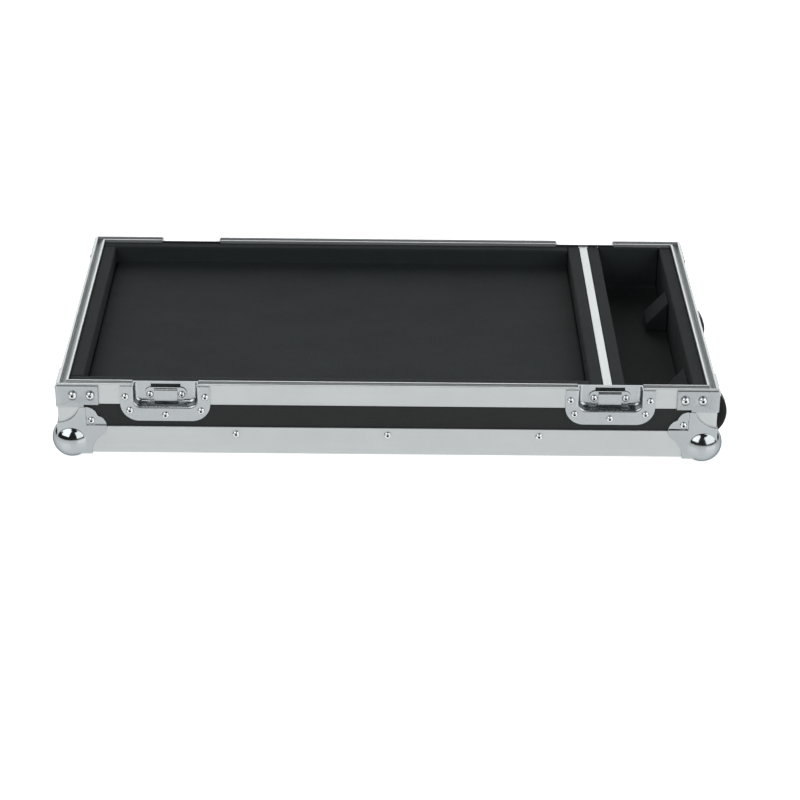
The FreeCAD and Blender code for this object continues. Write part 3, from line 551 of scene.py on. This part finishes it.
def buildKeeper():
    s = keeperSettings
    low, high = spanOf("front_left_latch_keeper")
    x, face = (low.x + high.x) / 2, high.y - s["plate"]
    keeper = block("front_left_keeper_plate", (low.x, face, low.z), (high.x, high.y, high.z + s["plateRise"]))
    roundEdges(keeper, s["ear"], s["earSteps"], alongY)
    bridgeLow = low.z + s["bridgeRise"]
    bridge = block("bridge", (x - s["bridgeHalf"], low.y, bridgeLow),
                   (x + s["bridgeHalf"], high.y - s["sink"], bridgeLow + s["bridgeTall"]))
    pickEdges(bridge, lambda a, b: min(a.z, b.z) > bridgeLow + near and min(a.y, b.y) > face)
    bpy.ops.transform.translate(value=(0, 0, s["slopeTall"] * mm))  # the top slopes up to the plate
    stopEditing()
    roundEdges(bridge, s["bridgeEdge"], s["bridgeSteps"],
               lambda a, b: max(a.y, b.y) < low.y + near and min(a.z, b.z) > bridgeLow + near)
    combine(keeper, bridge, "UNION")
    soften(keeper, s["edge"], segments=3, angle=40)
    return keeper


for corner, piece in fourLatches(buildKeeper(), "keeper_plate").items():
    finishPiece(piece, [dishPlate], [f"{corner}_latch_keeper"])
print("keepers done")


rivetSettings = {
    # the outline of a head, as shares of its radius and height
    "profile": ((1, 0), (1, 0.05), (0.98, 0.2), (0.94, 0.34), (0.87, 0.5), (0.77, 0.66), (0.64, 0.81),
                (0.5, 0.92), (0.38, 0.98), (0.34, 0.96), (0.31, 0.86), (0.3, 0.55)),
    "large": (5, 3.2), "small": (4.3, 2.8), "sides": 40, "sink": 0.5, "stem": 0.345,
    "onLeg": 37.8, "onEdge": (-174, 0, 174), "onDish": ((45.5, 15.2), (40.6, 32.3)), "dishFoot": 37.9,
    "onKeeper": 18.2,  # places along the walls, and drops below the rim, in mm
}


def buildRivet(kind):
    radius, tall = rivetSettings[kind]
    steps = [(radius, -rivetSettings["sink"])]
    steps += [(radius * r, tall * z) for r, z in rivetSettings["profile"]]
    rivet = turnProfile(kind + "_rivet", steps, rivetSettings["sides"])
    rivet.data.materials.append(rivetSteel)
    rivet.data.materials.append(paintedHoleShade)
    # the pit is real shape; its faces are painted near black as painted shade for the hole
    for face in rivet.data.polygons:
        inShadedHole = math.hypot(face.center.x, face.center.y) < rivetSettings["stem"] * radius * mm
        face.material_index = int(inShadedHole and face.center.z > 0)
    smoothBelow(rivet, 40)
    return rivet


def setRivets(kind, places, name):
    source = buildRivet(kind)
    heads = []
    for (point, out) in places:
        choose(source)
        bpy.ops.object.duplicate()
        head = bpy.context.object
        head.rotation_mode = "QUATERNION"
        head.rotation_quaternion = Vector(out).to_track_quat("Z", "X")
        head.location = Vector(point) * mm
        bpy.ops.object.transform_apply(location=True, rotation=True, scale=True)
        heads.append(head)
    bpy.data.objects.remove(source)
    return joinPieces(heads, name)


platePlaces, ballPlaces, latchPlaces, edgePlaces = [], [], [], []
plateZ = rimTop - plateSettings["rivetDrop"]
ballZ, edgeZ, keeperZ = [sum(spanOf(node), Vector()).z / 2
                         for node in ("ball_corner_rivets", "edge_rivets", "front_left_latch_keeper")]
plateOut, dishOut = plateSettings["thick"], dishSettings["sheet"]
keeperY = halfY - dishSettings["recessDeep"] + dishOut + keeperSettings["plate"]
for x, y in ((-1, -1), (-1, 1), (1, -1), (1, 1)):
    for along in plateSettings["rivets"]:
        platePlaces.append(((x * (halfX - along), y * (halfY + plateOut), plateZ), (0, y, 0)))
        platePlaces.append(((x * (halfX + plateOut), y * (halfY - along), plateZ), (x, 0, 0)))
    ballPlaces.append(((x * (halfX - rivetSettings["onLeg"]), y * halfY, ballZ), (0, y, 0)))
    ballPlaces.append(((x * halfX, y * (halfY - rivetSettings["onLeg"]), ballZ), (x, 0, 0)))
    middle, dishY = x * latchX, y * (halfY + dishOut)
    for side in (-1, 1):
        for across, drop in rivetSettings["onDish"]:
            latchPlaces.append(((middle + side * across, dishY, rimTop - drop), (0, y, 0)))
        latchPlaces.append(((middle + side * rivetSettings["onKeeper"], y * keeperY, keeperZ), (0, y, 0)))
    latchPlaces.append(((middle, dishY, rimTop - rivetSettings["dishFoot"]), (0, y, 0)))
for x in rivetSettings["onEdge"]:
    for y in (-1, 1):
        edgePlaces.append(((x, y * halfY, edgeZ), (0, y, 0)))
for kind, places, node in (("large", platePlaces, "corner_plate_rivets"),
                           ("small", ballPlaces, "ball_corner_rivets"),
                           ("small", latchPlaces, "latch_rivets"), ("small", edgePlaces, "edge_rivets")):
    heads = setRivets(kind, places, node.replace("rivets", "rivet_heads"))
    finishPiece(heads, [], [node])
print("rivets done:", len(platePlaces) + len(ballPlaces) + len(latchPlaces) + len(edgePlaces))


foamSettings = {"voxel": 1.3, "wideVoxel": 2.4, "wide": ["main_floor_foam"], "rounds": 2, "wave": 0.6,
                "waveSize": 45, "waveRest": 0.6, "keep": 0.4, "fill": 0.92}
foamNodes = ["front_foam", "back_foam", "left_foam", "right_foam", "main_floor_foam", "divider_left_foam",
             "divider_right_foam", "side_floor_foam", "front_wheel_cover", "back_wheel_cover"]


def buildFoam(node):
    s = foamSettings
    pad = copyNode(node, node.replace("_foam", "_foam_pad").replace("_cover", "_cover_foam"))
    voxel = s["wideVoxel" if node in s["wide"] else "voxel"]
    useModifier(pad, "REMESH", mode="VOXEL", voxel_size=voxel * mm)
    useModifier(pad, "SMOOTH", iterations=s["rounds"])
    useModifier(pad, "DISPLACE", texture=foamWaves, texture_coords="LOCAL", strength=s["wave"] * mm,
                mid_level=s["waveRest"])
    useModifier(pad, "DECIMATE", ratio=s["keep"])
    choose(pad)
    bpy.ops.object.shade_smooth()
    finishPiece(pad, [foamCells], [node])
    return len(pad.data.polygons)


foamWaves = bpy.data.textures.new("foam_waves", "CLOUDS")
foamWaves.noise_scale = foamSettings["waveSize"] * mm
print("foam lining done:", sum(buildFoam(node) for node in foamNodes), "faces")


wheelSettings = {"bore": 18, "sides": 96,
                 "lip": ((0, 0), (4, 0), (4.8, 0.6)),  # out from the bore, and in from the side, in mm
                 "tread": ((4.2, 0.6), (2.7, 1), (1.4, 1.9), (0.5, 3.2), (0.1, 5), (0, 7))}  # in from both


def buildTyre(end):
    s = wheelSettings
    low, high = spanOf(end + "_tyre")
    half, radius = (high.y - low.y) / 2, (high.z - low.z) / 2
    steps = [(s["bore"] + r, z - half) for r, z in s["lip"]]
    steps += [(radius - r, z - half) for r, z in s["tread"]]
    steps += [(r, -z) for r, z in reversed(steps)] + steps[:1]
    tyre = turnProfile(end + "_tyre_tread", steps, s["sides"], ring=True)
    tyre.rotation_euler = (math.radians(90), 0, 0)
    tyre.location = (low + high) / 2 * mm
    choose(tyre)
    bpy.ops.object.transform_apply(location=True, rotation=True, scale=True)
    smoothBelow(tyre, 35)
    finishPiece(tyre, [castUrethane], [end + "_tyre"], end + "_wheel")


for end in ("front", "back"):
    buildTyre(end)
print("tyres done")


plainFinishes = {
    laminate: ["bottom_panel", "front_panel", "back_panel", "left_panel", "right_panel", "divider_panel"],
    powderCoat: ["front_wheel_housing", "back_wheel_housing"],
    mouldedNylon: ["front_wheel_hub", "back_wheel_hub"],
    turnedSteel: ["front_wheel_bearings", "back_wheel_bearings", "front_axle", "back_axle",
                  "bearing_spacers"],
}
for material, nodes in plainFinishes.items():
    for node in nodes:
        frame["nodes"][node].data.materials.clear()
        frame["nodes"][node].data.materials.append(material)
print("plain solids finished")


stageSettings = {"floor": 24, "floorColour": "#F4F5F5", "floorRough": 0.14, "floorGlow": 0.72, "ripple": 3,
                 "backGlow": 2.25, "frontGlow": 0.03, "glowFrom": 0.5, "glowFull": 0.9, "wall": 0.9,
                 "aim": (0, 0, 0.05),  # metres, and each light's place, size and power
                 "lights": {"frontLeft": ((-1.4, -1.6, 1.7), (2.0, 2.0), 29),
                            "frontRight": ((1.93, -1.6, 1.29), (2.7, 2.0), 34)}}


# cast white acrylic: bright and even, with a soft reflection of what stands on it
def buildFloor():
    s = stageSettings
    bpy.ops.object.select_all(action="DESELECT")
    bpy.ops.mesh.primitive_plane_add(size=s["floor"])
    floor = bpy.context.object
    floor.name = "studioFloor"
    material, tree, shader, place = startMaterial("white_acrylic_sheet", s["floorColour"],
                                                  {"Roughness": s["floorRough"], "Specular IOR Level": 0.5,
                                                   "Emission Color": (1, 1, 1, 1),
                                                   "Emission Strength": s["floorGlow"]})
    ripple = addNode(tree, "TexNoise", {"Scale": 1 / (s["ripple"] * mm)}, {"Vector": place})
    bump = addNode(tree, "Bump", {"Strength": 0.02, "Distance": 0.1 * mm}, {"Height": ripple.outputs["Fac"]})
    linkShader(tree, shader, {"Normal": bump.outputs[0]})
    floor.data.materials.append(material)


def buildLights():
    s = stageSettings
    for name, (place, (wide, tall), power) in s["lights"].items():
        bpy.ops.object.select_all(action="DESELECT")
        bpy.ops.object.light_add(type="AREA", location=place)
        light = bpy.context.object
        light.name = name
        light.data.shape = "RECTANGLE"
        light.data.size, light.data.size_y, light.data.energy = wide, tall, power
        light.rotation_euler = (Vector(s["aim"]) - Vector(place)).to_track_quat("-Z", "Y").to_euler()
        light.visible_camera = False


def buildGlow():  # the studio behind the tray is bright and the one in front of it dark
    s = stageSettings
    world = bpy.data.worlds.new("studio")
    bpy.context.scene.world = world
    world.use_nodes = True
    tree = world.node_tree
    way = addNode(tree, "SeparateXYZ", {}, {0: addNode(tree, "TexCoord").outputs["Generated"]})
    glow = addNode(tree, "MapRange", {"From Min": s["glowFrom"], "From Max": s["glowFull"],
                                      "To Min": s["frontGlow"], "To Max": s["backGlow"]},
                   {"Value": way.outputs["Y"]})
    direct = addNode(tree, "LightPath").outputs["Is Camera Ray"]
    seen = addNode(tree, "Mix", {3: s["wall"]}, {0: direct, 2: glow.outputs[0]})  # a pale wall past the floor
    background = tree.nodes["Background"]
    background.inputs["Color"].default_value = (1, 1, 1, 1)
    linkShader(tree, background, {"Strength": seen.outputs[0]})


cameraSettings = {"place": (-13.11, -2754.5, 1337.23), "pitch": 26.3705, "yaw": 0.6044, "roll": 0.7802,
                  "sensor": 36, "lens": 111.706, "clip": (0.05, 60)}  # place in mm, turns in degrees


def buildCamera():
    s = cameraSettings
    pitch, yaw, roll = [math.radians(s[key]) for key in ("pitch", "yaw", "roll")]
    ahead = Vector((math.sin(yaw) * math.cos(pitch), math.cos(yaw) * math.cos(pitch), -math.sin(pitch)))
    right = Vector((math.cos(yaw), -math.sin(yaw), 0))
    up = right.cross(ahead)
    rolledRight = math.cos(roll) * right + math.sin(roll) * up
    rolledUp = math.cos(roll) * up - math.sin(roll) * right
    turn = Matrix((rolledRight, rolledUp, -ahead)).transposed().to_4x4()
    bpy.ops.object.camera_add()
    camera = bpy.context.object
    camera.name = "photoCamera"
    camera.matrix_world = Matrix.Translation(Vector(s["place"]) * mm) @ turn
    camera.data.sensor_width, camera.data.lens = s["sensor"], s["lens"]
    camera.data.clip_start, camera.data.clip_end = s["clip"]
    bpy.context.scene.camera = camera


buildFloor()
buildLights()
buildGlow()
buildCamera()
bpy.context.scene.view_settings.view_transform = "Standard"
print("stage done")
